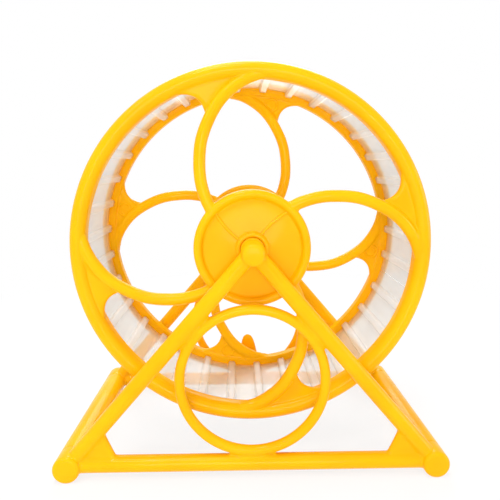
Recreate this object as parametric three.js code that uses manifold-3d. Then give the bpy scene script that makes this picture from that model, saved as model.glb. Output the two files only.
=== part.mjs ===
import * as THREE from 'three';
import { mergeVertices } from 'three/addons/utils/BufferGeometryUtils.js';
import Module from 'manifold-3d';

const wasm = await Module();
wasm.setup();

// A small-pet exercise wheel on an A-frame stand, in millimetres.
// +Z is up, the wheel turns about Y, and -Y is the front.
// The origin is on the ground, in the middle of the stand.

// Rims and running band
const rimRadius = 62.5;
const rimThickness = 5.5;
const rimSpacing = 42.2;
const bandInset = 2.5;
const bandThickness = 1;
const bandSlotDepth = 2.1;
const ribHeight = 1.7;
const ribWidth = 3;
const ribCount = 34;
const ribPitchDeg = 10.485;
const firstRibDeg = -9.9;
const seamWidth = 0.4;

// Spokes and webs, one moulding with each rim
const spokeCount = 4;
const spokeThickness = 4.2;
const spokeInset = 2.3;
const webThickness = 2.2;
const webBehind = 1;
const rearTurnDeg = 4.5;

// Hubs
const hubRadius = 19.8;
const hubRimWidth = 3;
const hubThickness = 5.4;
const hubDish = 6.4;
const recessDepth = 1.8;
const recessFloor = 1.8;
const neckWall = 1.3;
const neckProud = 0.9;
const neckBehind = 1.5;
const recessRibWidth = 0.9;
const recessRibHeight = 0.6;
const recessRibOuterDeg = 46.5;
const recessRibInnerDeg = 55.5;

// Stand
const groundGap = 14.05;
const rearRimGap = 5.2;
const footHalfSpan = 61.8;
const tubeDiameter = 5.5;
const footDiameter = 9;
const footFlatDepth = 0.25;
const footProud = 4.2;
const footEdgeRadius = 1.2;
const crossTubeBore = 5.8;
const spigotLength = 5.5;
const braceTubeDiameter = 3.5;
const braceSink = 0.45;
const gussetReach = 17.3;
const gussetThickness = 2.2;
const pegHeight = 17.6;
const pegFootWidth = 12;
const pegTopWidth = 4.6;
const pegThickness = 2.4;

// Axle
const bossDiameter = 8.1;
const bossTipDiameter = 7;
const bossProud = 8.3;
const bossEdgeRadius = 1.4;
const bossInnerLength = 20;
const bossBoreDepth = 15;
const axleDiameter = 4;

// Clearances
const clearance = 0.3;
const hubClearance = 0.1;
const endPlay = 0.35;

// Sizes that follow
const rimHalf = rimThickness / 2;
const rimCentreRadius = rimRadius - rimHalf;
const bandRadius = rimRadius - bandInset;
const spokeDish = hubDish - spokeInset;
const tubeRadius = tubeDiameter / 2;
const footRadius = footDiameter / 2;
const footHeight = footRadius - footFlatDepth;
const axleHeight = rimRadius + groundGap;
const legRise = axleHeight - footHeight;
const legLength = Math.hypot(footHalfSpan, legRise);
const bossRadius = bossDiameter / 2;
const boreRadius = bossRadius + hubClearance;
const neckRadius = boreRadius + neckWall;
const axleRadius = axleDiameter / 2;
const braceTubeRadius = braceTubeDiameter / 2;
const frameInradius = footHalfSpan * legRise / (footHalfSpan + legLength);
const braceRingRadius = frameInradius - tubeRadius - braceTubeRadius + braceSink;
const braceHeight = footHeight + frameInradius;
const frontRimGap = endPlay + neckProud + hubDish;
const frameSpacing = 2 * tubeRadius + frontRimGap + rimSpacing + rimHalf + rearRimGap;
const frameY = frameSpacing / 2;
const frontRimY = -frameY + tubeRadius + frontRimGap;
const rearRimY = frontRimY + rimSpacing;
const rearHubFaceY = rearRimY - hubDish + hubThickness;
const footInnerEnd = tubeRadius + clearance;

// Facets on round shapes
const rimSegments = 60;
const bandSegments = 68;
const hubSegments = 32;
const smallSegments = 20;
const tubeSegments = 16;
const spokeSteps = 14;
const spokeSideQuarter = 2;
const arcSteps = 3;

const yellow = new THREE.MeshStandardMaterial({ color: 0xfdc614, roughness: 0.38, metalness: 0 });
const milky = new THREE.MeshStandardMaterial({ color: 0xeeeae4, roughness: 0.5, metalness: 0 });
const steel = new THREE.MeshStandardMaterial({ color: 0xb9bcc0, roughness: 0.3, metalness: 1 });

const object = new THREE.Group();
const yAxis = new THREE.Vector3(0, 1, 0);

// A closed mesh with merged corners, without its collapsed triangles
function closedGeometry(geometry) {
  const bare = geometry.clone();
  bare.deleteAttribute('normal');
  bare.deleteAttribute('uv');
  const merged = mergeVertices(bare);
  const index = merged.getIndex().array;
  const kept = [];
  for (let i = 0; i < index.length; i += 3) {
    const [a, b, c] = [index[i], index[i + 1], index[i + 2]];
    if (a !== b && b !== c && c !== a) kept.push(a, b, c);
  }
  merged.setIndex(kept);
  return merged;
}

// Six times the signed volume, negative when the faces point inwards
function signedVolume(positions, index) {
  const a = new THREE.Vector3();
  const b = new THREE.Vector3();
  const c = new THREE.Vector3();
  let sum = 0;
  for (let i = 0; i < index.length; i += 3) {
    a.fromArray(positions, 3 * index[i]);
    b.fromArray(positions, 3 * index[i + 1]);
    c.fromArray(positions, 3 * index[i + 2]);
    sum += a.dot(b.cross(c));
  }
  return sum;
}

function solidOf(geometry) {
  const closed = closedGeometry(geometry);
  const vertProperties = Float32Array.from(closed.getAttribute('position').array);
  const triVerts = Uint32Array.from(closed.getIndex().array);
  if (signedVolume(vertProperties, triVerts) < 0) triVerts.reverse();
  return new wasm.Manifold(new wasm.Mesh({ numProp: 3, vertProperties, triVerts }));
}

function geometryOf(solid) {
  const { vertProperties, triVerts } = solid.getMesh();
  const geometry = new THREE.BufferGeometry();
  geometry.setAttribute('position', new THREE.BufferAttribute(vertProperties, 3));
  geometry.setIndex(new THREE.BufferAttribute(triVerts, 1));
  geometry.computeVertexNormals();
  return geometry;
}

function cut(base, ...tools) {
  return tools.reduce((rest, tool) => rest.subtract(tool), base);
}

function place(name, solid, material, parent) {
  const mesh = new THREE.Mesh(geometryOf(solid), material);
  mesh.name = name;
  parent.add(mesh);
  return mesh;
}

// Revolves [radius, y] points about Y; a loop closes on itself
function revolve(points, segments) {
  const profile = points.map(([radius, y]) => new THREE.Vector2(radius, y));
  return new THREE.LatheGeometry(profile, segments);
}

function revolveLoop(points, segments) {
  return revolve([...points, points[0]], segments);
}

// A quarter or half circle of [radius, y] points between two angles
function arcPoints(centre, radius, fromDeg, toDeg, steps) {
  const points = [];
  for (let i = 0; i <= steps; i++) {
    const angle = THREE.MathUtils.degToRad(fromDeg + (toDeg - fromDeg) * i / steps);
    points.push([centre[0] + radius * Math.cos(angle), centre[1] + radius * Math.sin(angle)]);
  }
  return points;
}

// A round bar between two points
function bar(from, to, radius) {
  const along = to.clone().sub(from);
  const geometry = new THREE.CylinderGeometry(radius, radius, along.length(), tubeSegments);
  const turn = new THREE.Quaternion().setFromUnitVectors(yAxis, along.clone().normalize());
  const middle = from.clone().lerp(to, 0.5);
  geometry.applyQuaternion(turn);
  geometry.translate(...middle.toArray());
  return solidOf(geometry);
}

// A flat plate in the XZ plane, from an outline of [x, z] points, between two depths along Y
function plate(outline, fromY, toY) {
  const shape = new THREE.Shape(outline.map(([x, z]) => new THREE.Vector2(x, z)));
  const geometry = new THREE.ExtrudeGeometry(shape, { depth: toY - fromY, bevelEnabled: false });
  geometry.rotateX(Math.PI / 2);
  geometry.translate(0, toY, 0);
  return solidOf(geometry);
}

function turnedAboutY(solid, degrees) {
  const geometry = geometryOf(solid);
  geometry.deleteAttribute('normal');
  geometry.rotateY(-THREE.MathUtils.degToRad(degrees));
  return solidOf(geometry);
}

// Rim: half round towards the outside, square towards the band, with a slot for the band's edge.
// Points are [radius, y] with y = 0 on the rim's middle plane; side is -1 at the front, 1 at the rear.
function rimSolid(side) {
  const slotFloor = rimHalf - bandSlotDepth;
  const round = arcPoints([rimCentreRadius, 0], rimHalf, 180, 360, 2 * arcSteps);
  const square = [
    [rimRadius, rimHalf],
    [bandRadius + bandThickness + clearance, rimHalf],
    [bandRadius + bandThickness + clearance, slotFloor],
    [bandRadius - clearance, slotFloor],
    [bandRadius - clearance, rimHalf],
    [rimRadius - rimThickness, rimHalf],
  ];
  const profile = [...round, ...square].map(([radius, y]) => [radius, -side * y]);
  return solidOf(revolveLoop(profile, rimSegments));
}

// The space that a rim and its clearance take, for cutting the spokes to it
function rimKeepOut(side) {
  const outer = rimHalf + clearance;
  const round = arcPoints([rimCentreRadius, 0], outer, 180, 360, 2 * arcSteps);
  const square = [[rimCentreRadius + outer, outer], [rimCentreRadius - outer, outer]];
  const profile = [...round, ...square].map(([radius, y]) => [radius, -side * y]);
  return solidOf(revolveLoop(profile, rimSegments));
}

// Running band: a thin strip bent round and held in both rims' slots, with ribs inside and one seam
function bandSolid() {
  const slotFloor = rimHalf - bandSlotDepth;
  const from = slotFloor + clearance;
  const to = rimSpacing - from;
  const outer = bandRadius + bandThickness;
  const sheet = solidOf(revolveLoop([[bandRadius, from], [outer, from], [outer, to], [bandRadius, to]], bandSegments));
  const ribLength = rimSpacing - rimThickness - 2 * clearance;
  const ribDepth = ribHeight + bandThickness / 2;
  let band = sheet;
  for (let i = 0; i < ribCount; i++) {
    const rib = new THREE.BoxGeometry(ribDepth, ribLength, ribWidth);
    rib.translate(bandRadius - ribHeight + ribDepth / 2, rimSpacing / 2, 0);
    rib.rotateY(-THREE.MathUtils.degToRad(firstRibDeg + i * ribPitchDeg));
    band = band.add(solidOf(rib));
  }
  const seamDeg = firstRibDeg + (360 + (ribCount - 1) * ribPitchDeg) / 2;
  const seam = new THREE.BoxGeometry(4 * bandThickness, 2 * rimSpacing, seamWidth);
  seam.translate(bandRadius, 0, 0);
  seam.rotateY(-THREE.MathUtils.degToRad(seamDeg));
  return cut(band, solidOf(seam));
}

// Spoke centre line, from the hub's rim out to where it runs into the wheel's rim.
// Each row: along the spoke, to its side, and forward of the rim, as shares of the rim's
// centre radius, the same radius and the spoke's dish.
const spokeRootDeg = 47.8;
const spokePathShares = [
  [0.272, 0.257, 1],
  [0.37, 0.286, 1],
  [0.478, 0.294, 1],
  [0.6, 0.283, 0.94],
  [0.72, 0.241, 0.76],
  [0.825, 0.18, 0.55],
  [0.905, 0.1, 0.3],
  [0.955, 0.01, 0.12],
  [0.98, -0.09, 0],
];

// Web between the spoke and the rim: its free edge is one curve, from the spoke to the rim.
// Rows are [along, to the side], as shares of the rim's centre radius.
const webEdgeShares = [[0.735, 0.262], [0.885, 0.285], [0.852, 0.432]];
const webRootShare = 0.7;

function spokePath(hand) {
  const points = spokePathShares.map(([along, aside, dish]) => new THREE.Vector3(
    along * rimCentreRadius, -dish * spokeDish, hand * aside * rimCentreRadius));
  const rootRadius = hubRadius - 2 * hubRimWidth / 3;
  const rootAngle = THREE.MathUtils.degToRad(spokeRootDeg);
  const root = new THREE.Vector3(Math.cos(rootAngle), 0, hand * Math.sin(rootAngle));
  root.multiplyScalar(rootRadius).y = -spokeDish;
  return new THREE.CatmullRomCurve3([root, ...points]);
}

function webOutline(hand) {
  const [start, control, end] = webEdgeShares.map(([along, aside]) =>
    new THREE.Vector2(along * rimCentreRadius, hand * aside * rimCentreRadius));
  const edge = new THREE.QuadraticBezierCurve(start, control, end).getPoints(2 * arcSteps);
  const rimFrom = Math.atan2(end.y, end.x);
  const rimTo = Math.atan2(hand * spokePathShares.at(-1)[1], spokePathShares.at(-1)[0]);
  const points = edge.map((point) => [point.x, point.y]);
  for (let i = 1; i <= 2 * arcSteps; i++) {
    const angle = rimFrom + (rimTo - rimFrom) * i / (2 * arcSteps);
    points.push([rimCentreRadius * Math.cos(angle), rimCentreRadius * Math.sin(angle)]);
  }
  const besideWeb = spokePathShares.filter(([along]) => along > webRootShare).reverse();
  for (const [along, aside] of besideWeb.slice(1)) {
    points.push([along * rimCentreRadius, hand * aside * rimCentreRadius]);
  }
  return points;
}

// One spoke with its web, in the wheel side's own place: y = 0 on the rim's middle plane.
// The web's back lies webBehind behind that plane, and its face stays well below the rim's round front.
function spokeSolid(side, hand) {
  const section = new THREE.Shape();
  section.absarc(0, 0, spokeThickness / 2, 0, 2 * Math.PI);
  const tube = new THREE.ExtrudeGeometry(section, {
    steps: spokeSteps,
    curveSegments: 2 * spokeSideQuarter,
    extrudePath: spokePath(hand),
  });
  const web = plate(webOutline(hand), webBehind - webThickness, webBehind);
  const hubKeepOut = solidOf(revolve([
    [0, -rimRadius],
    [hubRadius + clearance, -rimRadius],
    [hubRadius + clearance, rimRadius],
    [0, rimRadius],
  ], hubSegments));
  return cut(solidOf(tube).add(web), rimKeepOut(side), hubKeepOut);
}

// Hub: a recessed disc with a rounded rim, a neck for the axle boss and thin curved ribs.
// depth runs inwards from the hub's outer face; outward is -1 at the front and 1 at the rear.
function hubSolid(faceY, outward, neckOut, hand) {
  const atDepth = ([radius, depth]) => [radius, faceY - outward * depth];
  const inner = hubRadius - hubRimWidth;
  const roundRadius = hubRimWidth / 2;
  const profile = [
    [boreRadius, -neckOut],
    [neckRadius, -neckOut],
    [neckRadius, recessDepth],
    [inner, recessDepth],
    ...arcPoints([inner + roundRadius, roundRadius], roundRadius, 180, 360, arcSteps),
    [hubRadius, hubThickness],
    [inner, hubThickness],
    [inner, recessDepth + recessFloor],
    [neckRadius, recessDepth + recessFloor],
    [neckRadius, hubThickness + neckBehind],
    [boreRadius, hubThickness + neckBehind],
  ];
  let hub = solidOf(revolveLoop(profile.map(atDepth), hubSegments));
  const floorY = faceY - outward * (recessDepth + recessFloor / 2);
  const topY = faceY - outward * (recessDepth - recessRibHeight);
  for (let i = 0; i < spokeCount; i++) {
    const rib = plate(recessRibOutline(hand), Math.min(floorY, topY), Math.max(floorY, topY));
    hub = hub.add(turnedAboutY(rib, i * 360 / spokeCount));
  }
  return hub;
}

function recessRibOutline(hand) {
  const from = neckRadius - neckWall / 2;
  const to = hubRadius - hubRimWidth / 2;
  const left = [];
  const right = [];
  for (let i = 0; i <= arcSteps; i++) {
    const radius = from + (to - from) * i / arcSteps;
    const degrees = recessRibInnerDeg + (recessRibOuterDeg - recessRibInnerDeg) * i / arcSteps;
    const angle = hand * THREE.MathUtils.degToRad(degrees);
    const half = recessRibWidth / 2;
    const along = [Math.cos(angle), Math.sin(angle)];
    left.push([radius * along[0] - half * along[1], radius * along[1] + half * along[0]]);
    right.unshift([radius * along[0] + half * along[1], radius * along[1] - half * along[0]]);
  }
  return [...left, ...right];
}

function buildWheel() {
  const wheel = new THREE.Group();
  wheel.position.set(0, 0, axleHeight);
  object.add(wheel);
  const sides = [
    { name: 'front', side: -1, hand: 1, y: frontRimY, turn: 0 },
    { name: 'rear', side: 1, hand: -1, y: rearRimY, turn: rearTurnDeg },
  ];
  for (const { name, side, hand, y, turn } of sides) {
    place(`${name}_rim`, rimSolid(side), yellow, wheel).position.y = y;
    const spoke = spokeSolid(side, hand);
    for (let i = 0; i < spokeCount; i++) {
      const mesh = place(`${name}_spoke_${i + 1}`, spoke, yellow, wheel);
      mesh.position.y = y;
      mesh.rotation.y = -THREE.MathUtils.degToRad(turn + i * 360 / spokeCount);
    }
  }
  const rearNeckOut = frameY - tubeRadius - endPlay - rearHubFaceY;
  place('front_hub', hubSolid(frontRimY - hubDish, -1, neckProud, 1), yellow, wheel);
  const rearHub = place('rear_hub', hubSolid(rearHubFaceY, 1, rearNeckOut, -1), yellow, wheel);
  rearHub.rotation.y = -THREE.MathUtils.degToRad(rearTurnDeg);
  place('running_band', bandSolid(), milky, wheel).position.y = frontRimY;
}

// The A-frame's solids are made about its own middle plane, y = 0, with -Y outwards

// Apex boss: a stub with a slightly domed tip, hollow from its inner end to take the axle rod
function bossSolid() {
  const bore = axleRadius + clearance;
  const tip = bossTipDiameter / 2;
  const profile = [
    [0, -bossProud],
    ...arcPoints([tip - bossEdgeRadius, bossEdgeRadius - bossProud], bossEdgeRadius, 270, 360, arcSteps),
    [bossRadius, -tubeRadius],
    [bossRadius, bossInnerLength],
    [bore, bossInnerLength],
    [bore, bossInnerLength - bossBoreDepth],
    [0, bossInnerLength - bossBoreDepth],
  ];
  const geometry = revolve(profile, smallSegments);
  geometry.translate(0, 0, axleHeight);
  return solidOf(geometry);
}

const bossCentre = new THREE.Vector3(0, 0, axleHeight);

// A bar along Y through a point, long enough to cut a whole frame
function throughBar(centre, radius) {
  const reach = yAxis.clone().multiplyScalar(frameSpacing);
  return bar(centre.clone().sub(reach), centre.clone().add(reach), radius);
}

function footCentre(hand) {
  return new THREE.Vector3(hand * footHalfSpan, 0, footHeight);
}

// Everything under the ground, cut off the feet and the cross tubes to leave their flats
function ground() {
  const box = new THREE.BoxGeometry(4 * footHalfSpan, 4 * frameSpacing, footDiameter);
  box.translate(0, 0, -footDiameter / 2);
  return solidOf(box);
}

function legBar(hand, radius) {
  return bar(bossCentre, footCentre(hand), radius);
}

function legSolid(hand) {
  const otherHalf = new THREE.BoxGeometry(2 * footHalfSpan, 2 * tubeDiameter, 2 * axleHeight);
  otherHalf.translate(hand * (clearance / 2 - footHalfSpan), 0, axleHeight);
  return cut(
    legBar(hand, tubeRadius),
    throughBar(bossCentre, bossRadius + clearance),
    throughBar(footCentre(hand), footRadius + clearance),
    solidOf(otherHalf),
  );
}

function baseBar(radius) {
  return bar(footCentre(-1), footCentre(1), radius);
}

// Legs, feet, base bar and boss with their clearance, for cutting what meets them
function frameKeepOuts() {
  const keepOuts = [throughBar(bossCentre, bossRadius + clearance)];
  for (const hand of [-1, 1]) {
    keepOuts.push(throughBar(footCentre(hand), footRadius + clearance));
    keepOuts.push(legBar(hand, tubeRadius + clearance));
  }
  return keepOuts;
}

function baseBarSolid() {
  return cut(baseBar(tubeRadius), ...frameKeepOuts());
}

function braceRing(radius) {
  const geometry = new THREE.TorusGeometry(braceRingRadius, radius, 4 * spokeSideQuarter, 2 * smallSegments);
  geometry.rotateX(Math.PI / 2);
  geometry.translate(0, 0, braceHeight);
  return solidOf(geometry);
}

function braceRingSolid() {
  return cut(braceRing(braceTubeRadius), baseBar(tubeRadius + clearance), ...frameKeepOuts());
}

function gussetSolid(hand) {
  const foot = footCentre(hand);
  const legShare = gussetReach / legLength;
  const onLeg = foot.clone().lerp(bossCentre, legShare);
  const outline = [[foot.x, foot.z], [onLeg.x, onLeg.z], [foot.x - hand * gussetReach, foot.z]];
  const panel = plate(outline, -gussetThickness / 2, gussetThickness / 2);
  return cut(panel, baseBar(tubeRadius + clearance), ...frameKeepOuts());
}

// Foot: a round end closed at the front, with a flat to stand on and a spigot for the cross tube
function footSolid(hand) {
  const outer = footRadius;
  const spigot = crossTubeBore / 2 - clearance;
  const profile = [
    [0, -footProud],
    ...arcPoints([outer - footEdgeRadius, footEdgeRadius - footProud], footEdgeRadius, 270, 360, arcSteps),
    [outer, footInnerEnd],
    [spigot, footInnerEnd],
    [spigot, footInnerEnd + spigotLength],
    [0, footInnerEnd + spigotLength],
  ];
  const geometry = revolve(profile, smallSegments);
  geometry.translate(...footCentre(hand).toArray());
  return cut(solidOf(geometry), ground());
}

// Peg on the middle of the rear brace ring, a tapered tongue with a round top
function pegSolid() {
  const low = braceHeight - braceRingRadius;
  const top = low + pegHeight;
  const half = pegTopWidth / 2;
  const round = arcPoints([0, top - half], half, 0, 180, 2 * arcSteps);
  const outline = [[-pegFootWidth / 2, low], [pegFootWidth / 2, low], ...round];
  return cut(plate(outline, -pegThickness / 2, pegThickness / 2), braceRing(braceTubeRadius + clearance));
}

function crossTubeSolid(hand) {
  const half = frameY - footInnerEnd - clearance;
  const bore = crossTubeBore / 2;
  const geometry = revolveLoop([[bore, -half], [footRadius, -half], [footRadius, half], [bore, half]], smallSegments);
  geometry.translate(...footCentre(hand).toArray());
  return cut(solidOf(geometry), ground());
}

function buildStand() {
  for (const [end, turn] of [['front', 0], ['rear', Math.PI]]) {
    const frame = new THREE.Group();
    frame.rotation.z = turn;
    frame.position.y = turn ? frameY : -frameY;
    object.add(frame);
    place(`${end}_axle_boss`, bossSolid(), yellow, frame);
    place(`${end}_base_bar`, baseBarSolid(), yellow, frame);
    place(`${end}_brace_ring`, braceRingSolid(), yellow, frame);
    for (const hand of [-1, 1]) {
      const seenHand = turn ? -hand : hand;
      const where = seenHand < 0 ? 'left' : 'right';
      place(`${end}_${where}_leg`, legSolid(hand), yellow, frame);
      place(`${end}_${where}_foot`, footSolid(hand), yellow, frame);
      place(`${end}_${where}_gusset`, gussetSolid(hand), yellow, frame);
    }
    if (turn) place('rear_peg', pegSolid(), yellow, frame);
  }
  place('left_cross_tube', crossTubeSolid(-1), yellow, object);
  place('right_cross_tube', crossTubeSolid(1), yellow, object);
  const rodHalf = frameY - bossInnerLength + bossBoreDepth - clearance;
  const rod = bar(
    new THREE.Vector3(0, -rodHalf, axleHeight),
    new THREE.Vector3(0, rodHalf, axleHeight),
    axleRadius,
  );
  place('axle_rod', rod, steel, object);
}

buildWheel();
buildStand();

export default object;
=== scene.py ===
import math

import bmesh
import bpy
import numpy as np
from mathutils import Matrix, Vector


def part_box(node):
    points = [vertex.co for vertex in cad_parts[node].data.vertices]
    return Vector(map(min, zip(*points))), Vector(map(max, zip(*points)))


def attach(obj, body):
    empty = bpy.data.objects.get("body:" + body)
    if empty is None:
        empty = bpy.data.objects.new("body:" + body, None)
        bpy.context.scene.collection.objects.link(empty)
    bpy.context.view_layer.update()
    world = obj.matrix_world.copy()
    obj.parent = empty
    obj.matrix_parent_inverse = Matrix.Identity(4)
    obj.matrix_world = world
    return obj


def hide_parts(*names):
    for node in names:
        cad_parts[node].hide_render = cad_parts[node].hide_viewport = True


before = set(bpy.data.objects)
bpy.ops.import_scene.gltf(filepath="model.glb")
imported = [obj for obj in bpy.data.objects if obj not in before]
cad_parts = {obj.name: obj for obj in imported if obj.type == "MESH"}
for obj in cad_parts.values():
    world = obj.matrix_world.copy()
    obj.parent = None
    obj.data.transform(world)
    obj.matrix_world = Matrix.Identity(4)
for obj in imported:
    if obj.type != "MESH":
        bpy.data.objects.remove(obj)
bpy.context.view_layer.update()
mm = 0.001
yAxis = np.array([0.0, 1.0, 0.0])
print("frame loaded")


# Places and sizes that the frame already holds, in millimetres
def nodeBox(name):
    low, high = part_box(name)
    return np.array(low) / mm, np.array(high) / mm


rimLow, rimHigh = nodeBox("front_rim")
rearRimLow, rearRimHigh = nodeBox("rear_rim")
hubLow, hubHigh = nodeBox("front_hub")
rearHubHigh = nodeBox("rear_hub")[1]
bossLow, bossHigh = nodeBox("front_axle_boss")
ringLow, ringHigh = nodeBox("front_brace_ring")
footLow, footHigh = nodeBox("front_right_foot")
legLow, legHigh = nodeBox("front_right_leg")
pegHigh = nodeBox("rear_peg")[1]
tubeLow, tubeHigh = nodeBox("right_cross_tube")
rodLow, rodHigh = nodeBox("axle_rod")

axle = np.array([0.0, 0.0, (rimLow[2] + rimHigh[2]) / 2])
rimRadius = (rimHigh[0] - rimLow[0]) / 2
rimHalf = (rimHigh[1] - rimLow[1]) / 2
rimCentre = rimRadius - rimHalf
frontRimY = (rimLow[1] + rimHigh[1]) / 2
rearRimY = (rearRimLow[1] + rearRimHigh[1]) / 2
hubRadius = (hubHigh[0] - hubLow[0]) / 2
frameY = (legHigh[1] + legLow[1]) / 2
legRadius = (legHigh[1] - legLow[1]) / 2
footRadius = (footHigh[0] - footLow[0]) / 2
foot = np.array([(footHigh[0] + footLow[0]) / 2, frameY, footHigh[2] - footRadius])


# Camera at the photograph's angle, first because the rest is judged through it
view = {
    "place": (-4.94, -182.05, 103.74),  # mm
    "turn": 1.461,  # degrees towards +X
    "tilt": 5.596,  # degrees down
    "lens": 33.79,  # mm, on a sensor 36 mm wide
    "shift": (0.00106, -0.0737),
    "near": 10.0,  # mm
}

camera = bpy.data.objects.new("camera", bpy.data.cameras.new("camera"))
camera.location = [value * mm for value in view["place"]]
camera.rotation_euler = (math.radians(90 - view["tilt"]), 0, -math.radians(view["turn"]))
camera.data.lens = view["lens"]
camera.data.shift_x, camera.data.shift_y = view["shift"]
camera.data.clip_start = view["near"] * mm
bpy.context.scene.collection.objects.link(camera)
bpy.context.scene.camera = camera
print("camera ready")


# How finely shapes are made. Lengths are in millimetres here and in every piece's dictionary
detail = {
    "weld": 0.001,
    "sharpAngle": 40,  # degrees
    "cornerSteps": 7,
    "barSides": 28,
    "noseSteps": 9,
    "edgeSteps": 40,
}


# Faces of a grid of points: cell (i, j) joins corners i, i + 1 and j, j + 1, wrapping on a loop
def surface(points, loopRows=False, loopColumns=True):
    rows, columns = points.shape[:2]
    row = np.arange(rows if loopRows else rows - 1)
    column = np.arange(columns if loopColumns else columns - 1)
    a, b = np.meshgrid(row, column, indexing="ij")
    c, d = (a + 1) % rows, (b + 1) % columns
    faces = np.stack([a * columns + b, c * columns + b, c * columns + d, a * columns + d], -1)
    return points.reshape(-1, 3), faces.reshape(-1, 4)


# One mesh from several surfaces, its doubled points merged and its faces turned outwards
def makePiece(name, surfaces):
    starts = np.cumsum([0] + [len(points) for points, faces in surfaces[:-1]])
    points = np.concatenate([part[0] for part in surfaces]) * mm
    faces = np.concatenate([part[1] + start for part, start in zip(surfaces, starts)])
    mesh = bpy.data.meshes.new(name)
    mesh.from_pydata(points.tolist(), [], faces.tolist())
    work = bmesh.new()
    work.from_mesh(mesh)
    bmesh.ops.remove_doubles(work, verts=work.verts, dist=detail["weld"] * mm)
    bmesh.ops.recalc_face_normals(work, faces=work.faces)
    work.to_mesh(mesh)
    work.free()
    mesh.shade_smooth()
    mesh.set_sharp_from_angle(angle=math.radians(detail["sharpAngle"]))
    piece = bpy.data.objects.new(name, mesh)
    bpy.context.scene.collection.objects.link(piece)
    return piece


# What rests on the ground stays above it: z is at least 0
def aboveGround(part):
    points, faces = part
    points[:, 2] = np.maximum(points[:, 2], 0)
    return points, faces


# One skin round closed surfaces that run into each other, its inner corners softened to fillets
def fuse(surfaces, mould):
    piece = makePiece("skin", surfaces)
    skin = piece.modifiers.new("skin", "REMESH")
    skin.mode = "VOXEL"
    skin.voxel_size = mould["cell"] * mm
    soften = piece.modifiers.new("soften", "SMOOTH")
    soften.factor = mould["softenShare"]
    soften.iterations = mould["softenRounds"]
    fused = piece.evaluated_get(bpy.context.evaluated_depsgraph_get()).to_mesh()
    points = np.empty(len(fused.vertices) * 3)
    faces = np.empty(len(fused.loops), dtype=np.int32)
    fused.vertices.foreach_get("co", points)
    fused.loops.foreach_get("vertex_index", faces)
    bpy.data.objects.remove(piece)
    faces = faces.reshape(-1, 4)
    print("skin faces", len(faces))
    return aboveGround((points.reshape(-1, 3) / mm, faces))


# How far each corner of an outline moves to bring all its sides inwards: inset (n + m) / (1 + n.m),
# with n and m its sides' inward normals. Points on the turning axis, x = 0, stay on it
def inwardShift(corner, back, ahead, inset):
    x, y = corner.T
    doubleArea = np.sum(x * np.roll(y, -1) - y * np.roll(x, -1))
    leftHand = np.sign(doubleArea) * np.array([-1, 1])
    n, m = -back[:, ::-1] * leftHand, ahead[:, ::-1] * leftHand
    shift = inset * (n + m) / (1 + np.sum(n * m, 1, keepdims=True))
    return shift * np.where(corner == 0, [0, 1], 1)


# Outline with round corners, from rows (x, y, r). Each corner becomes the arc that leaves its sides
# r away from it: (1-t)^2 A + 2w t(1-t) C + t^2 B over the sum of its weights, w = cos(half the turn)
def roundCorners(rows, inset=0):
    rows = np.array(rows, dtype=float)
    corner, reach = rows[:, :2], np.maximum(rows[:, 2:] - inset, 0)
    back = np.roll(corner, 1, 0) - corner
    ahead = np.roll(corner, -1, 0) - corner
    back /= np.linalg.norm(back, axis=1, keepdims=True)
    ahead /= np.linalg.norm(ahead, axis=1, keepdims=True)
    corner = corner + inwardShift(corner, back, ahead, inset)
    weight = np.sqrt(np.clip((1 - np.sum(back * ahead, 1)) / 2, 0, 1))[:, None, None]
    t = np.linspace(0, 1, detail["cornerSteps"])[None, :, None]
    a, b, c = (1 - t) ** 2, 2 * weight * t * (1 - t), t**2
    start, end = corner + back * reach, corner + ahead * reach
    curve = (a * start[:, None] + b * corner[:, None] + c * end[:, None]) / (a + b + c)
    return curve.reshape(-1, 2)


# Profile (radius, depth) turned round an axis along Y: x = radius cos t, y = depth, z = radius sin t
def lathe(profile, centre, sides, closed=True):
    t = np.linspace(0, 2 * np.pi, sides, endpoint=False)[:, None]
    radius, depth = profile.T
    points = np.stack([radius * np.cos(t), depth + 0 * t, radius * np.sin(t)], -1)
    return surface(points + np.array(centre), loopRows=True, loopColumns=closed)


# Round bar: a circle of the given radius carried along the path, square to it, ends closed to a point
def sweep(path, radius, sides, loop=False):
    path = np.asarray(path, dtype=float)
    radius = np.broadcast_to(radius, len(path))
    ahead = np.roll(path, -1, 0) - np.roll(path, 1, 0) if loop else np.gradient(path, axis=0)
    ahead = ahead / np.linalg.norm(ahead, axis=1, keepdims=True)
    if not loop:
        path = np.pad(path, ((1, 1), (0, 0)), mode="edge")
        ahead = np.pad(ahead, ((1, 1), (0, 0)), mode="edge")
        radius = np.pad(radius, 1)
    aside = np.cross(ahead, yAxis)
    aside = aside / np.linalg.norm(aside, axis=1, keepdims=True)
    up = np.cross(aside, ahead)
    t = np.linspace(0, 2 * np.pi, sides, endpoint=False)[None, :, None]
    points = path[:, None] + radius[:, None, None] * (np.cos(t) * aside[:, None] + np.sin(t) * up[:, None])
    return surface(points, loopRows=loop)


# Circle in a plane across Y: centre + radius (cos t, 0, sin t)
def circle(centre, radius, samples):
    t = np.linspace(0, 2 * np.pi, samples, endpoint=False)
    return np.array(centre) + radius * np.stack([np.cos(t), 0 * t, np.sin(t)], -1)


# Smooth curve through points: 0.5 (2b + (c-a)t + (2a-5b+4c-d)t^2 + (3b-a-3c+d)t^3) between b and c
def spline(points, samples):
    ends = np.vstack([2 * points[0] - points[1], points, 2 * points[-1] - points[-2]])
    along = np.linspace(0, len(points) - 1, samples)
    first = np.minimum(along.astype(int), len(points) - 2)
    t = (along - first)[:, None]
    a, b, c, d = (ends[first + step] for step in range(4))
    return (2 * b + (c - a) * t + (2 * a - 5 * b + 4 * c - d) * t**2 + (3 * b - a - 3 * c + d) * t**3) / 2


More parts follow.
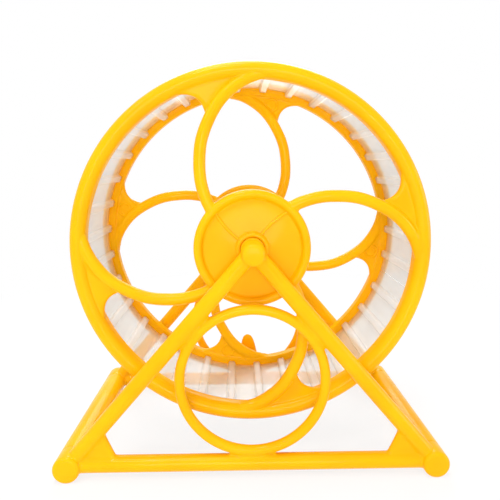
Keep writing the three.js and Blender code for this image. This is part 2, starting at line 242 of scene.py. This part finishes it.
# Quadratic curve (1-t)^2 A + 2t(1-t) B + t^2 C
def bend(a, b, c):
    t = np.linspace(0, 1, detail["edgeSteps"])[:, None]
    return (1 - t) ** 2 * np.array(a) + 2 * t * (1 - t) * np.array(b) + t**2 * np.array(c)


# Flat plate between an edge curve and a back curve (x, z) with common ends. Its section is a flat bar
# with a round nose on the edge: edge + (r - r cos f) towards the back, y = middle + half sin f
def plate(edge, back, middle, half):
    reach = back - edge
    length = np.linalg.norm(reach, axis=1, keepdims=True)
    reach = reach / np.maximum(length, detail["weld"])
    nose = np.minimum(half, length / 2)
    f = np.linspace(-np.pi / 2, np.pi / 2, detail["noseSteps"])[None, :, None]
    across = edge[:, None] + reach[:, None] * nose[:, None] * (1 - np.cos(f))
    across = np.concatenate([back[:, None], across, back[:, None]], axis=1)
    depth = middle + half * np.concatenate([[-1], np.sin(f).ravel(), [1]])
    depth = np.broadcast_to(depth, across.shape[:2])
    return surface(np.stack([across[..., 0], depth, across[..., 1]], -1))


# Turned about the axle, anticlockwise seen from the front: x' = x cos - z sin, z' = x sin + z cos
def turned(part, degrees):
    points, faces = part
    angle = math.radians(degrees)
    x, y, z = (points - axle).T
    aside = x * math.cos(angle) - z * math.sin(angle)
    up = x * math.sin(angle) + z * math.cos(angle)
    return np.stack([aside, y, up], -1) + axle, faces


# One side of the wheel, a single moulding: rim, webbed spokes and hub
side = {
    "rimCorner": 2.7,
    "lipCorner": 0.5,
    "rimSides": 240,
    "hubRim": 3.0,
    "hubCorner": 1.45,
    "hubThickness": 5.4,
    "hubDish": 6.4,
    "recessDepth": 1.8,
    "recessFloor": 1.8,
    "neckRadius": 5.45,
    "boreRadius": 4.15,
    "neckBehind": 1.5,
    "neckCorner": 0.4,
    "smallCorner": 0.3,
    "hubSides": 120,
    "ridgeRadius": 0.55,
    "ridgeTurn": (57.0, 46.2),  # degrees, at the neck and at the hub's rim
    "ridgeSides": 12,
    "spokeRadius": 2.1,
    "spokeDish": 4.1,
    "spokeRoot": 2.0,  # in from the hub's edge
    "spokeRootAngle": 47.8,  # degrees
    "spokeSamples": 100,
    "webEdgeShares": ((0.735, 0.262), (0.885, 0.285), (0.852, 0.432)),
    "frontWebForward": 0.1,  # of the rim's middle plane, towards the front
    "rearWebForward": 1.1,
    "webHalf": 1.1,
    "webSteps": 20,
    "markRadius": 2.5,
    "markLine": 0.6,
    "markRaised": 0.4,
    "markReach": 54.0,  # of the ring mark on the web, from the axle
    "markAngle": 14.4,  # degrees from the spoke's own direction
    "quarters": 4,
    "rearTurn": 4.5,  # degrees
    "cell": 0.48,
    "softenShare": 0.5,
    "softenRounds": 5,
    "skinInset": 0.15,
}
spokeShares = np.array([
    # along the spoke, to its side and forward of the rim, as shares of the rim's size and the dish
    [0.272, 0.257, 1], [0.37, 0.286, 1], [0.478, 0.294, 1], [0.6, 0.283, 0.94], [0.72, 0.241, 0.76],
    [0.825, 0.18, 0.55], [0.905, 0.1, 0.3], [0.96, 0.01, 0.12], [0.991, -0.1, 0.02], [0.98, -0.2, 0],
])


# Rim's section about its middle: well rounded on its outer face, nearly square towards the band
def rimProfile(outward, inset=0):
    inner = rimRadius - 2 * rimHalf
    rows = [
        (inner, rimHalf, side["rimCorner"]), (rimRadius, rimHalf, side["rimCorner"]),
        (rimRadius, -rimHalf, side["lipCorner"]), (inner, -rimHalf, side["lipCorner"]),
    ]
    return roundCorners(rows, inset) * (1, outward)


# Hub's section with depths counted inwards from its outer face: rim, recess floor and neck
def hubProfile(face, outward, neckOut, inset=0):
    inner, neck, bore = hubRadius - side["hubRim"], side["neckRadius"], side["boreRadius"]
    top, under = side["recessDepth"], side["recessDepth"] + side["recessFloor"]
    thick, behind = side["hubThickness"], side["hubThickness"] + side["neckBehind"]
    big, small, rounded = side["hubCorner"], side["smallCorner"], side["neckCorner"]
    rows = roundCorners([
        (bore, -neckOut, small), (neck, -neckOut, rounded), (neck, top, small), (inner, top, small),
        (inner, 0, big), (hubRadius, 0, big), (hubRadius, thick, rounded), (inner, thick, rounded),
        (inner, under, small), (neck, under, small), (neck, behind, small), (bore, behind, small),
    ], inset)
    return np.stack([rows[:, 0], face - outward * rows[:, 1]], -1)


# Middle line of a spoke: a smooth curve from inside the hub's edge through its table of shares, with
# x = along, y = rimY - dish and z = hand * aside
def spokePath(hand, rimY):
    angle = math.radians(side["spokeRootAngle"])
    root = hubRadius - side["spokeRoot"]
    along, aside, dish = (spokeShares * (rimCentre, rimCentre, side["spokeDish"])).T
    along = np.append(root * math.cos(angle), along)
    aside = np.append(root * math.sin(angle), aside)
    dish = np.append(side["spokeDish"], dish)
    return spline(np.stack([along, rimY - dish, hand * aside], -1) + axle, side["spokeSamples"])


# Web: a plate from a hollow free edge, bent through three points, back to the spoke and then the rim
def webPlate(hand, webY):
    edge = bend(*(rimCentre * np.array(side["webEdgeShares"])))
    edge[:, 1] *= hand
    spoke = spokePath(hand, webY)[:, [0, 2]] - axle[[0, 2]]
    alongSpoke = spoke[spoke[:, 0] > edge[0, 0]]
    alongSpoke = alongSpoke[np.linspace(0, len(alongSpoke) - 1, side["webSteps"]).astype(int)]
    start = math.atan2(alongSpoke[-1, 1], alongSpoke[-1, 0])
    angle = np.linspace(start, math.atan2(edge[-1, 1], edge[-1, 0]), side["webSteps"])
    alongRim = rimCentre * np.stack([np.cos(angle), np.sin(angle)], -1)
    back = np.concatenate([edge[:1], alongSpoke[1:], alongRim[:-1], edge[-1:]])
    return plate(edge + axle[[0, 2]], back + axle[[0, 2]], webY, side["webHalf"])


# Ridge on the hub's recess: radius r from the neck to the rim, its angle a straight line in r
def ridgePath(face, outward, hand):
    overlap, steps = side["smallCorner"], detail["edgeSteps"]
    inner, outer = side["neckRadius"] - overlap, hubRadius - side["hubRim"] + overlap
    radius = np.linspace(inner, outer, steps)
    angle = hand * np.linspace(*np.radians(side["ridgeTurn"]), steps)
    depth = face - outward * side["recessDepth"] + 0 * radius
    return np.stack([radius * np.cos(angle), depth, radius * np.sin(angle)], -1) + axle


# Ring mark on a web's inner face: a circle that lies partly sunk in it
def markPath(webY, outward, hand):
    reach, angle = side["markReach"], hand * math.radians(side["markAngle"])
    depth = webY - outward * (side["webHalf"] - side["markLine"] + side["markRaised"])
    centre = axle + (reach * math.cos(angle), depth, reach * math.sin(angle))
    return circle(centre, side["markRadius"], detail["edgeSteps"])


# Softened skin over rim, hub, spokes and webs, then the crisp parts. Outward is -1 or 1 along Y, away
# from the band, and the two sides' spokes curl in opposite ways about the axle
def wheelSide(name, outward, turn, rimY, webY, face, neckOut):
    hand = -outward
    mark = sweep(markPath(webY, outward, hand), side["markLine"], side["ridgeSides"], loop=True)
    ridge = sweep(ridgePath(face, outward, hand), side["ridgeRadius"], side["ridgeSides"])
    spoke = sweep(spokePath(hand, rimY), side["spokeRadius"], detail["barSides"])
    web = webPlate(hand, webY)
    # the turned parts are made twice: slightly smaller in the softened skin, and crisp over it
    mould, crisp = [
        [lathe(rimProfile(outward, inset), axle + rimY * yAxis, side["rimSides"]),
         lathe(hubProfile(face, outward, neckOut, inset), axle, side["hubSides"])]
        for inset in (side["skinInset"], 0)
    ]
    for quarter in range(side["quarters"]):
        angle = turn + 360 * quarter / side["quarters"]
        mould += [turned(spoke, angle), turned(web, angle)]
        crisp += [turned(ridge, angle), turned(mark, angle)]
    return makePiece(name, [fuse(mould, side)] + crisp)


frontFace = frontRimY - side["hubDish"]
rearFace = rearRimY - side["hubDish"] + side["hubThickness"]
frontSide = wheelSide(
    "front_side", outward=-1, turn=0, rimY=frontRimY, webY=frontRimY - side["frontWebForward"],
    face=frontFace, neckOut=frontFace - hubLow[1])
rearSide = wheelSide(
    "rear_side", outward=1, turn=side["rearTurn"], rimY=rearRimY, webY=rearRimY - side["rearWebForward"],
    face=rearFace, neckOut=rearHubHigh[1] - rearFace)
print("wheel sides made")


# Running band: a strip bent round and held in both rims, its ribs raised towards the axle
band = {
    "inner": 60.0,
    "outer": 61.0,
    "inRim": 1.8,
    "ribHeight": 1.7,
    "ribWidth": 3.0,
    "ribSoft": 0.8,
    "ribSpan": 8.4,  # width of the faces that carry one rib, with the flat margins beside it
    "ribMiddle": 1.0,  # width of the strip of faces along its top
    "ribCount": 34,
    "ribPitch": 10.485,  # degrees
    "ribFirst": -9.9,  # degrees, anticlockwise from +X seen from the front
    "ribEndGap": 0.3,
    "seamGap": 0.4,
    "edgeShares": (-0.6, -0.3, 0, 0.3, 0.6),  # places across a rib's flank
    "lengthSteps": 8,
}


# 0 outside, 1 inside, along x^2 (3 - 2x) over the soft width at each edge
def plateau(value, low, high, soft):
    rise = np.clip((value - low) / soft + 0.5, 0, 1)
    fall = np.clip((high - value) / soft + 0.5, 0, 1)
    both = np.minimum(rise, fall)
    return both**2 * (3 - 2 * both)


# Band: radius = inner - ribHeight * plateau over the rib's width * plateau along its length
def bandSurface():
    half, soft, span = band["ribWidth"] / 2, band["ribSoft"], band["ribSpan"] / 2
    step = soft * np.array(band["edgeShares"])
    middle = band["ribMiddle"] / 2 * np.array([-1, 1])
    offset = np.concatenate([[-span], step - half, middle, step + half, [span]])
    ribTurn = np.radians(band["ribFirst"] + band["ribPitch"] * np.arange(band["ribCount"]))
    turn = (ribTurn[:, None] + offset / band["inner"]).ravel()
    raised = np.tile(plateau(offset, -half, half, soft), band["ribCount"])
    seam = (ribTurn[0] + ribTurn[-1] + 2 * np.pi) / 2
    slit = band["seamGap"] / 2 / band["inner"]
    turn = np.concatenate([[seam - 2 * np.pi + slit], turn, [seam - slit]])
    raised = np.concatenate([[0], raised, [0]])

    low, high = frontRimY + rimHalf - band["inRim"], rearRimY - rimHalf + band["inRim"]
    ribLow, ribHigh = frontRimY + rimHalf + band["ribEndGap"], rearRimY - rimHalf - band["ribEndGap"]
    between = np.linspace(ribLow + band["ribWidth"], ribHigh - band["ribWidth"], band["lengthSteps"])
    y = np.concatenate([[low], ribLow + step, between, ribHigh + step, [high]])
    inner = band["inner"] - band["ribHeight"] * raised[:, None] * plateau(y, ribLow, ribHigh, soft)
    outer = np.full((len(turn), 2), band["outer"])
    radius = np.concatenate([inner, outer], axis=1)
    depth = np.broadcast_to(np.concatenate([y, [high, low]]), radius.shape)
    points = np.stack([radius * np.cos(turn[:, None]), depth, radius * np.sin(turn[:, None])], -1) + axle
    ends = points[[0, -1]].mean(axis=1, keepdims=True) + 0 * points[[0, -1]]
    return surface(np.concatenate([ends[:1], points, ends[1:]]))


runningBand = makePiece("ribbed_band", [bandSurface()])
print("running band made")


# A-frame of the stand, one moulding; the rear one is the same turned round, with a peg added
stand = {
    "ringTube": 1.75,
    "ringSamples": 160,
    "bossTip": 3.5,
    "bossRadius": 4.05,
    "bossCorner": 1.3,
    "bossBore": 2.3,
    "bossBoreDepth": 15.0,
    "smallCorner": 0.25,
    "footCorner": 1.2,
    "jointGap": 0.08,
    "skinInset": 0.15,
    "spigotRadius": 2.6,
    "roundSides": 64,
    "gussetReach": 17.3,
    "gussetHollow": 0.3,
    "gussetHalf": 1.1,
    "gussetTaper": 8.0,  # how steeply its back leaves the two ends of the free edge for the corner
    "pegHalf": (6.0, 2.3),  # half its width at the foot and at the top
    "pegDepth": 1.2,
    "pegLean": 0.5,
    "pegBluntness": 14,
    "cell": 0.42,
    "softenShare": 0.5,
    "softenRounds": 6,
}
ringOuter = (ringHigh[0] - ringLow[0]) / 2
ringCentre = np.array([0, frameY, ringHigh[2] - ringOuter])


# Straight bars start + (end - start) s from the apex to the feet and between them, and the brace ring
def frameSurfaces():
    apex, left, right = np.array([0, frameY, axle[2]]), foot * (-1, 1, 1), foot
    along = np.linspace(0, 1, detail["edgeSteps"])[:, None]
    bars = [(apex, left), (apex, right), (left, right)]
    parts = [sweep(start + (end - start) * along, legRadius, detail["barSides"]) for start, end in bars]
    ring = circle(ringCentre, ringOuter - stand["ringTube"], stand["ringSamples"])
    parts.append(sweep(ring, stand["ringTube"], detail["barSides"], loop=True))
    return parts + [gusset(-1), gusset(1)] + turnedParts(stand["skinInset"])


# Boss and feet, made once a little smaller for the skin and once crisp over it
def turnedParts(inset=0):
    tip, inner = bossLow[1], bossHigh[1]
    floor = inner - stand["bossBoreDepth"]
    full, bore, small = stand["bossRadius"], stand["bossBore"], stand["smallCorner"]
    profile = roundCorners([
        (0, tip, 0), (stand["bossTip"], tip, stand["bossCorner"]), (full, frameY - legRadius, small),
        (full, inner, small), (bore, inner, small), (bore, floor, small), (0, floor, 0),
    ], inset)
    boss = lathe(profile, (0, 0, axle[2]), stand["roundSides"], closed=False)

    low, joint, high = footLow[1], tubeLow[1] - stand["jointGap"], footHigh[1]
    profile = roundCorners([
        (0, low, 0), (footRadius, low, stand["footCorner"]), (footRadius, joint, small),
        (stand["spigotRadius"], joint, small), (stand["spigotRadius"], high, small), (0, high, 0),
    ], inset)
    points, faces = aboveGround(lathe(profile, foot * (1, 0, 1), stand["roundSides"], closed=False))
    return [boss, (points, faces), (points * (-1, 1, 1), faces)]


# Gusset: a plate from a slightly hollow free edge back to the corner of the leg and the base bar
def gusset(hand):
    corner = foot[[0, 2]] * (hand, 1)
    alongLeg = np.array([0, axle[2]]) - corner
    onLeg = corner + alongLeg / np.linalg.norm(alongLeg) * stand["gussetReach"]
    onBar = corner - (hand * stand["gussetReach"], 0)
    middle = (onLeg + onBar) / 2
    inward = (corner - middle) / np.linalg.norm(corner - middle)
    edge = bend(onLeg, middle + inward * stand["gussetHollow"], onBar)
    rise = np.sin(np.linspace(0, np.pi, len(edge))) * stand["gussetTaper"]
    back = edge + (corner - edge) * np.clip(rise, 0, 1)[:, None]
    return plate(edge, back, frameY, stand["gussetHalf"])


# Peg on the rear brace ring: x = lean u^3 + half(u) c cos t, y = depth c sin t, and it closes at its
# top along c = sqrt(1 - u^bluntness)
def pegSurface():
    u = np.linspace(0, 1, detail["edgeSteps"])[:, None]
    t = np.linspace(0, 2 * np.pi, detail["barSides"], endpoint=False)
    low, high = stand["pegHalf"]
    close = np.sqrt(1 - u**stand["pegBluntness"])
    x = stand["pegLean"] * u**3 + (low + (high - low) * u) * close * np.cos(t)
    y = frameY + stand["pegDepth"] * close * np.sin(t)
    base = ringCentre[2] - ringOuter + stand["ringTube"]
    z = base + (pegHigh[2] - base) * u + 0 * t
    points = np.stack([x, y, z], -1)
    start = points[:1].mean(axis=1, keepdims=True) + 0 * points[:1]
    return surface(np.concatenate([start, points]))


# Skin with the crisp parts over it; half a turn about the upright, (-x, -y, z), makes the rear one
def standFrame(name, extra, halfTurn):
    surfaces = [fuse(frameSurfaces() + extra, stand)] + turnedParts()
    return makePiece(name, [(points * halfTurn, faces) for points, faces in surfaces])


frontFrame = standFrame("front_frame", [], (1, 1, 1))
rearFrame = standFrame("rear_frame", [pegSurface()], (-1, -1, 1))
print("stand frames made")


# Cross tubes between the frames, resting on the ground, and the rod between the two bosses
rods = {"tubeBore": 2.9, "tubeCorner": 0.25, "rodCorner": 0.3, "sides": 64}


# Tube with a bore, turned about the line between two feet and flat where it rests
def crossTube(name, hand):
    low, high, bore, corner = tubeLow[1], tubeHigh[1], rods["tubeBore"], rods["tubeCorner"]
    profile = roundCorners([
        (bore, low, corner), (footRadius, low, corner), (footRadius, high, corner), (bore, high, corner),
    ])
    return makePiece(name, [aboveGround(lathe(profile, foot * (hand, 0, 1), rods["sides"]))])


# Plain rod with rounded ends, turned about the axle
def axleRod():
    radius, corner = (rodHigh[0] - rodLow[0]) / 2, rods["rodCorner"]
    profile = roundCorners([
        (0, rodLow[1], 0), (radius, rodLow[1], corner), (radius, rodHigh[1], corner), (0, rodHigh[1], 0),
    ])
    return makePiece("axle", [lathe(profile, axle, rods["sides"], closed=False)])


leftTube = crossTube("left_tube", -1)
rightTube = crossTube("right_tube", 1)
rod = axleRod()
print("tubes and rod made")


# A node's output that adds Math nodes when it is used in arithmetic
class Wire:
    def __init__(self, finish, socket):
        self.finish, self.socket = finish, socket

    def output(self, name):
        return Wire(self.finish, self.socket.node.outputs[name])

    def maths(self, operation, *values):
        return self.finish.add("Math", {"operation": operation}, dict(enumerate(values)))

    def __add__(self, other):
        return self.maths("ADD", self, other)

    def __sub__(self, other):
        return self.maths("SUBTRACT", self, other)

    def __rsub__(self, other):
        return self.maths("SUBTRACT", other, self)

    def __mul__(self, other):
        return self.maths("MULTIPLY", self, other)

    def __truediv__(self, other):
        return self.maths("DIVIDE", self, other)

    def __pow__(self, other):
        return self.maths("POWER", self, other)

    def clamped(self):
        return self.maths("MINIMUM", self.maths("MAXIMUM", self, 0.0), 1.0)

    __radd__, __rmul__ = __add__, __mul__


# A node tree, of a new material unless one is given. add takes a node's type, its settings, the values
# or wires of its inputs and the output that is wanted
class Finish:
    def __init__(self, name, tree=None):
        if tree is None:
            self.material = bpy.data.materials.new(name)
            self.material.use_nodes = True
            tree = self.material.node_tree
        self.tree = tree
        self.tree.nodes.clear()

    def add(self, kind, settings=None, inputs=None, output=0):
        node = self.tree.nodes.new("ShaderNode" + kind)
        for key, value in (settings or {}).items():
            setattr(node, key, value)
        for key, value in (inputs or {}).items():
            if isinstance(value, Wire):
                self.tree.links.new(value.socket, node.inputs[key])
            else:
                node.inputs[key].default_value = value
        return Wire(self, node.outputs[output] if node.outputs else None)

    def place(self):
        return self.add("TexCoord", output="Object")

    # a colour Mix node has its factor at input 0, its colours at 6 and 7 and its result at output 2
    def mix(self, factor, low, high):
        return self.add("Mix", {"data_type": "RGBA"}, {0: factor, 6: low, 7: high}, 2)

    def noise(self, vector, scale, octaves=2.0):
        return self.add("TexNoise", {}, {"Vector": vector, "Scale": scale, "Detail": octaves})


# Roughness that follows a pattern: its middle value + spread * (pattern - 0.5)
def roughnessOver(pattern, look):
    return pattern * look["roughnessSpread"] + (look["roughness"] - look["roughnessSpread"] / 2)


# Moulded plastic: a warm yellow that runs a little deeper in places
yellow = {
    "base": (1.0, 0.52, 0.004, 1),
    "deep": (1.0, 0.47, 0.002, 1),
    "patchScale": 45.0,
    "patchOctaves": 3.0,
    "patchFrom": 0.4,
    "patchContrast": 4,
    "roughness": 0.27,
    "roughnessSpread": 0.12,
    "grainScale": 1500.0,
    "grainDepth": 0.0002,  # metres
    "grainStrength": 0.05,
    "specular": 0.1,
    "specularTint": (1.0, 0.8, 0.25, 1),
    "coat": 0.13,
    "coatRoughness": 0.08,
}


# Base runs to deep where the patches pass patchFrom; a fine grain bumps the surface
def yellowPlastic():
    made = Finish("yellow_plastic")
    patches = made.noise(made.place(), yellow["patchScale"], yellow["patchOctaves"])
    grain = made.noise(made.place(), yellow["grainScale"])
    deeper = ((patches - yellow["patchFrom"]) * yellow["patchContrast"]).clamped()
    bump = made.add("Bump", {}, {
        "Strength": yellow["grainStrength"], "Distance": yellow["grainDepth"], "Height": grain,
    })
    shader = made.add("BsdfPrincipled", {}, {
        "Base Color": made.mix(deeper, yellow["base"], yellow["deep"]),
        "Roughness": roughnessOver(patches, yellow), "Normal": bump,
        "Specular IOR Level": yellow["specular"], "Specular Tint": yellow["specularTint"],
        "Coat Weight": yellow["coat"], "Coat Roughness": yellow["coatRoughness"],
    })
    made.add("OutputMaterial", {}, {"Surface": shader})
    return made.material


# Milky strip that lets things behind it show faintly: ribs a clearer white than the thin sheet between
# them, a painted warm glow of light from the yellow rims where the strip enters them, and patches of
# painted peach reflection
milky = {
    "sheet": (0.74, 0.75, 0.72, 1),
    "rib": (0.82, 0.83, 0.8, 1),
    # painted reflection: peach that stands in for yellow light reflected onto the strip
    "reflectedPeach": (0.93, 0.8, 0.5, 1),
    # painted light: orange that stands in for the rims' light bleeding into the strip
    "glow": (1.0, 0.55, 0.1, 1),
    "sheetAlpha": 0.42,
    "ribAlpha": 0.58,
    "transmission": 0.3,
    "glowReach": 6.0,
    "glowPower": 2.0,
    "glowShare": 0.85,
    "glowAlpha": 0.6,
    "ribFrom": 0.3,
    "ribSoft": 0.6,
    "roughness": 0.3,
    "roughnessSpread": 0.1,
    "cloudScale": 60.0,
    "cloudOctaves": 4.0,
    "cloudMiddle": 0.5,
    "cloudShare": 0.3,
    "patchScale": 28.0,
    "patchFrom": 0.42,
    "patchContrast": 4,
    "patchShare": 0.2,
    "subsurface": 0.3,
    "subsurfaceRadius": (1.0, 0.9, 0.75),
    "subsurfaceScale": 0.004,  # metres
}


# The radius sqrt(x^2 + z^2) about the axle tells ribs from sheet; the painted glow rises towards both rims
def milkyPlastic():
    made = Finish("milky_plastic")
    parts = made.add("SeparateXYZ", {}, {"Vector": made.place()})
    x, y, z = (parts.output(name) for name in "XYZ")
    radius = (x * x + (z - float(axle[2] * mm)) ** 2) ** 0.5
    onRib = (((band["inner"] - milky["ribFrom"]) * mm - radius) / (milky["ribSoft"] * mm)).clamped()
    reach = milky["glowReach"] * mm
    rear = ((y - float((rearRimY - rimHalf) * mm - reach)) / reach).clamped()
    front = ((float((frontRimY + rimHalf) * mm + reach) - y) / reach).clamped()
    # painted glow: the colour runs to orange near each rim, as if lit through it
    glow = (rear + front) ** milky["glowPower"] * milky["glowShare"]
    clouds = made.noise(made.place(), milky["cloudScale"], milky["cloudOctaves"])
    # painted reflection: peach patches scattered at random over the strip
    patches = made.noise(made.place(), milky["patchScale"])
    patches = ((patches - milky["patchFrom"]) * milky["patchContrast"]).clamped() * milky["patchShare"]
    whiter = ((clouds - milky["cloudMiddle"]) * milky["cloudShare"] + onRib).clamped()
    colour = made.mix(whiter, milky["sheet"], milky["rib"])
    colour = made.mix(patches, colour, milky["reflectedPeach"])
    # painted glow of rim light mixed into the strip's colour
    colour = made.mix(glow, colour, milky["glow"])
    alpha = onRib * (milky["ribAlpha"] - milky["sheetAlpha"]) + milky["sheetAlpha"]
    shader = made.add("BsdfPrincipled", {}, {
        "Base Color": colour, "Alpha": (alpha + glow * milky["glowAlpha"]).clamped(),
        "Roughness": roughnessOver(clouds, milky), "Transmission Weight": milky["transmission"],
        "Subsurface Weight": milky["subsurface"], "Subsurface Radius": milky["subsurfaceRadius"],
        "Subsurface Scale": milky["subsurfaceScale"],
    })
    made.add("OutputMaterial", {}, {"Surface": shader})
    return made.material


# Drawn steel: fine lines along the rod
steel = {
    "base": (0.6, 0.61, 0.63, 1),
    "lineScale": 4000.0,
    "stretch": (1, 0.02, 1),
    "roughness": 0.3,
    "roughnessSpread": 0.2,
}


# Noise stretched fifty times along Y turns into lines in the roughness
def steelRod():
    made = Finish("rod_steel")
    stretched = made.add("Mapping", {}, {"Vector": made.place(), "Scale": steel["stretch"]})
    lines = made.noise(stretched, steel["lineScale"])
    shader = made.add("BsdfPrincipled", {}, {
        "Base Color": steel["base"], "Metallic": 1.0, "Roughness": roughnessOver(lines, steel),
    })
    made.add("OutputMaterial", {}, {"Surface": shader})
    return made.material


# What each piece is made of, the body it rides on and the nodes that it replaces
frameNodes = ["axle_boss", "base_bar", "brace_ring"]
frameNodes += [f"{where}_{part}" for where in ("left", "right") for part in ("leg", "foot", "gusset")]
sideNodes = ["rim", "hub"] + [f"spoke_{number + 1}" for number in range(side["quarters"])]
yellowFinish = yellowPlastic()
pieces = [
    # piece, body, finish, slot, nodes
    (frontSide, "wheel", yellowFinish, "yellow_plastic", ["front_" + node for node in sideNodes]),
    (rearSide, "wheel", yellowFinish, "yellow_plastic", ["rear_" + node for node in sideNodes]),
    (runningBand, "wheel", milkyPlastic(), "milky_strip", ["running_band"]),
    (frontFrame, "stand", yellowFinish, "yellow_plastic", ["front_" + node for node in frameNodes]),
    (rearFrame, "stand", yellowFinish, "yellow_plastic", ["rear_" + node for node in frameNodes + ["peg"]]),
    (leftTube, "stand", yellowFinish, "yellow_plastic", ["left_cross_tube"]),
    (rightTube, "stand", yellowFinish, "yellow_plastic", ["right_cross_tube"]),
    (rod, "stand", steelRod(), "rod", ["axle_rod"]),
]
for piece, body, finish, slot, nodes in pieces:
    piece.data.materials.append(finish)
    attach(piece, body)
    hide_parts(*nodes)
print("materials and bodies set")


# Pale floor and white background; lights at a plain level. Lengths in metres, power in watts
studio = {
    "floorHalf": 2.0,
    "floorPaper": (0.9, 0.9, 0.9, 1),
    "white": (1, 1, 1, 1),
    "floorWhiteShare": 0.82,
    "whiteFrom": 0.12,  # distance from the object's middle where the paper starts to turn plain white
    "whiteOver": 0.15,
    "worldStrength": 0.36,
    "aim": (0.0, 0.0, 0.07),
    "lights": (
        # place, size, power
        ((-0.1, -0.05, 0.8), 0.3, 2.3),
        ((-0.15, -0.45, 0.8), 0.2, 1.6),
        ((-0.45, -0.35, 0.55), 0.1, 0.8),
        ((0.7, -0.15, 0.15), 0.3, 0.9),
        ((0.0, -0.6, 0.1), 0.3, 1.4),
        ((0.0, 0.6, 0.6), 0.5, 4.0),
    ),
}


# 1 for what the camera sees straight, mirrored or through something clear, 0 for scattered light
def seenStraight(made):
    path = made.add("LightPath")
    return (path + path.output("Is Glossy Ray") + path.output("Is Transmission Ray")).clamped()


# Floor: paper that holds the shadow near the object and turns plain white further out
def makeFloor():
    reach = studio["floorHalf"]
    corners = [(-reach, -reach, 0), (reach, -reach, 0), (reach, reach, 0), (-reach, reach, 0)]
    mesh = bpy.data.meshes.new("floor")
    mesh.from_pydata(corners, [], [(0, 1, 2, 3)])
    floor = bpy.data.objects.new("floor", mesh)
    bpy.context.scene.collection.objects.link(floor)
    made = Finish("floor_paper")
    away = made.add("VectorMath", {"operation": "LENGTH"}, {0: made.place()}, "Value")
    far = ((away - studio["whiteFrom"]) / studio["whiteOver"]).clamped()
    near = studio["floorWhiteShare"]
    share = seenStraight(made) * (far * (1 - near) + near)
    paper = made.add("BsdfDiffuse", {}, {"Color": studio["floorPaper"]})
    glow = made.add("Emission", {}, {"Color": studio["white"], "Strength": 1.0})
    made.add("OutputMaterial", {}, {"Surface": made.add("MixShader", {}, {0: share, 1: paper, 2: glow})})
    floor.data.materials.append(made.material)


# World: plain white where it is seen, dimmer as a light
def makeWorld():
    world = bpy.data.worlds.new("studio")
    bpy.context.scene.world = world
    world.use_nodes = True
    made = Finish("world", world.node_tree)
    strength = seenStraight(made) * (1 - studio["worldStrength"]) + studio["worldStrength"]
    sky = made.add("Background", {}, {"Color": studio["white"], "Strength": strength})
    made.add("OutputWorld", {}, {"Surface": sky})


# Square lamp turned towards the object
def makeLight(name, spot, size, power):
    light = bpy.data.objects.new(name, bpy.data.lights.new(name, "AREA"))
    light.data.size, light.data.energy = size, power
    light.location = spot
    light.rotation_euler = (Vector(studio["aim"]) - Vector(spot)).to_track_quat("-Z", "Y").to_euler()
    bpy.context.scene.collection.objects.link(light)


makeFloor()
makeWorld()
for number, (spot, size, power) in enumerate(studio["lights"]):
    makeLight(f"light_{number}", spot, size, power)
bpy.context.scene.view_settings.view_transform = "Standard"
print("studio ready")
